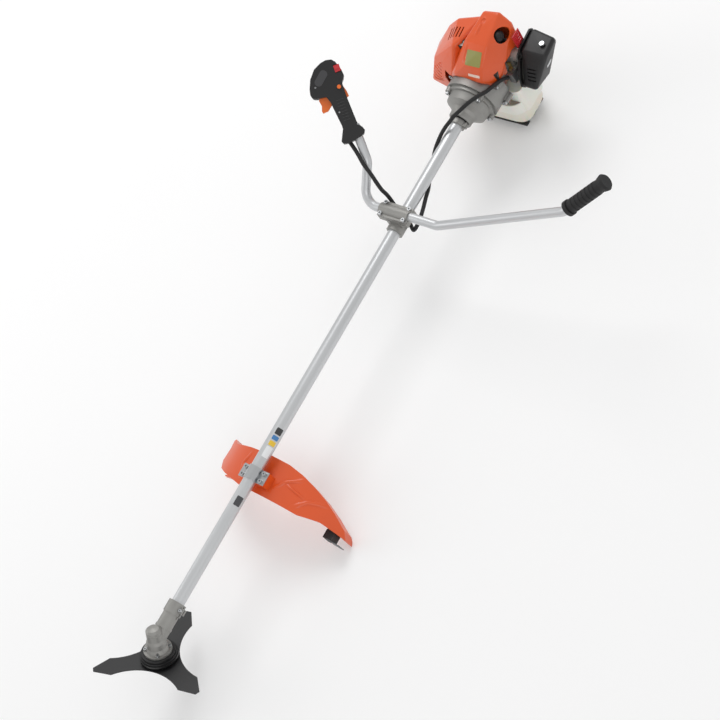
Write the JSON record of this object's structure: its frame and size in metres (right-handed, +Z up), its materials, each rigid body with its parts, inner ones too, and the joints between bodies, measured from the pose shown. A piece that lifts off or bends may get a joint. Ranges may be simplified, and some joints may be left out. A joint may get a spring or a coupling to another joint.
{
  "type": "brush cutter",
  "caption": "Petrol brush cutter: long straight shaft with an angled gear head and toothed blade, guard, bent handlebar with grips, and a hooded engine on a fuel tank.",
  "frame": {"origin": "on the ground under the middle of the fuel tank", "axes": "+Y along the shaft from the blade to the engine, +Z up, +X to the user's left"},
  "size_m": [0.6945, 1.5209, 0.3912],
  "materials": {
    "orange_plastic": "moulded, semi-gloss",
    "black_plastic": "moulded, fine texture",
    "cast_aluminium": "die cast, satin",
    "tube_aluminium": "satin silver",
    "bright_steel": "zinc plated",
    "dark_steel": "machined",
    "blade_paint": "satin black",
    "tank_plastic": "translucent off-white",
    "rubber": "matt",
    "red_plastic": "moulded",
    "orange_lever": "moulded",
    "brass": "turned",
    "muffler_steel": "heat-darkened",
    "ceramic": "glazed ceramic",
    "foam": "open foam"
  },
  "bodies": {
    "frame": {"gear_case": "cast_aluminium", "case_screws": "bright_steel", "dust_cover": "black_plastic", "ball_bearings": "dark_steel", "shaft_tube": "tube_aluminium", "shaft_bushes": "black_plastic", "guard": "orange_plastic", "guard_bracket": "orange_plastic", "guard_strap": "bright_steel", "line_cutter": "black_plastic", "line_knife": "dark_steel", "bar_clamp_base": "cast_aluminium", "bar_clamp_cap": "cast_aluminium", "handlebar": "tube_aluminium", "plain_grip": "rubber", "throttle_shell_left": "black_plastic", "throttle_shell_right": "black_plastic", "cable_sleeve": "rubber", "clutch_housing": "cast_aluminium", "tube_clamp": "cast_aluminium", "mouth_rubber": "rubber", "fan_housing": "cast_aluminium", "ignition_coil": "black_plastic", "crankcase": "cast_aluminium", "cylinder": "cast_aluminium", "spark_plug": "ceramic", "plug_cap": "rubber", "muffler": "muffler_steel", "muffler_cover": "orange_plastic", "top_cover": "orange_plastic", "carburettor": "cast_aluminium", "throttle_bracket": "bright_steel", "filter_base": "black_plastic", "filter_element": "foam", "air_cover": "black_plastic", "air_cover_screw": "bright_steel", "fuel_tank": "tank_plastic", "tank_feet": "rubber", "starter_housing": "black_plastic"},
    "cutter": {"output_shaft": "dark_steel", "bevel_gear": "dark_steel", "inner_flange": "cast_aluminium", "blade": "blade_paint", "outer_flange": "dark_steel", "blade_nut": "bright_steel"},
    "drive": {"drive_shaft": "dark_steel", "pinion": "dark_steel", "clutch_drum": "dark_steel"},
    "crank": {"crankshaft": "dark_steel", "flywheel": "cast_aluminium", "clutch_shoes": "dark_steel"},
    "piston": {"piston": "cast_aluminium"},
    "trigger": {"trigger": "orange_lever"},
    "safety_lever": {"safety_lever": "orange_lever"},
    "stop_switch": {"stop_switch": "red_plastic"},
    "lock_button": {"lock_button": "orange_lever"},
    "choke_lever": {"choke_lever": "red_plastic"},
    "carb_lever": {"carb_lever": "brass"},
    "fuel_cap": {"fuel_cap": "black_plastic"},
    "starter_handle": {"starter_handle": "black_plastic"}
  },
  "joints": [
    {"name": "blade_spin", "type": "hinge", "parent": "frame", "child": "cutter", "pos_m": [0, -1.338, 0.138], "axis": [0, 0.5, 0.866], "continuous": true},
    {"name": "drive_spin", "type": "hinge", "parent": "frame", "child": "drive", "pos_m": [0, -1.257, 0.138], "axis": [0, 1, 0], "continuous": true},
    {"name": "crank_spin", "type": "hinge", "parent": "frame", "child": "crank", "pos_m": [0, 0.003, 0.138], "axis": [0, 1, 0], "continuous": true},
    {"name": "piston_slide", "type": "slide", "parent": "frame", "child": "piston", "axis": [0, 0, 1], "range_m": [0, 0.03]},
    {"name": "trigger_pull", "type": "hinge", "parent": "frame", "child": "trigger", "pos_m": [-0.17656, -0.24646, 0.32844], "axis": [0.5624, -0.2947, 0.7726], "range_deg": [0, 18], "stiffness_Nm_per_rad": 0.5},
    {"name": "safety_press", "type": "hinge", "parent": "frame", "child": "safety_lever", "pos_m": [-0.16038, -0.22201, 0.32599], "axis": [-0.5624, 0.2947, -0.7726], "range_deg": [0, 8], "stiffness_Nm_per_rad": 0.3},
    {"name": "switch_rock", "type": "hinge", "parent": "frame", "child": "stop_switch", "pos_m": [-0.16769, -0.19887, 0.35438], "axis": [0.6469, 0.7388, -0.189], "range_deg": [0, 8]},
    {"name": "lock_press", "type": "slide", "parent": "frame", "child": "lock_button", "axis": [-0.5624, 0.2947, -0.7726], "range_m": [0, 0.003], "stiffness_N_per_m": 400},
    {"name": "choke_turn", "type": "hinge", "parent": "frame", "child": "choke_lever", "pos_m": [0.0795, 0.034, 0.2], "axis": [-1, 0, 0], "range_deg": [0, 25]},
    {"name": "carb_turn", "type": "hinge", "parent": "frame", "child": "carb_lever", "pos_m": [0.062, -0.001, 0.176], "axis": [0, 1, 0], "range_deg": [0, 40]},
    {"name": "cap_turn", "type": "hinge", "parent": "frame", "child": "fuel_cap", "pos_m": [0.02, 0.059, 0.04], "axis": [0, 1, 0], "range_deg": [0, 120]},
    {"name": "starter_pull", "type": "slide", "parent": "frame", "child": "starter_handle", "axis": [1, 0, 0], "range_m": [0, 0.65], "stiffness_N_per_m": 20}
  ],
  "couplings": [
    {"joint": "drive_spin", "follows": "blade_spin", "ratio": 1.3571},
    {"joint": "carb_turn", "follows": "trigger_pull", "ratio": 2.2}
  ]
}
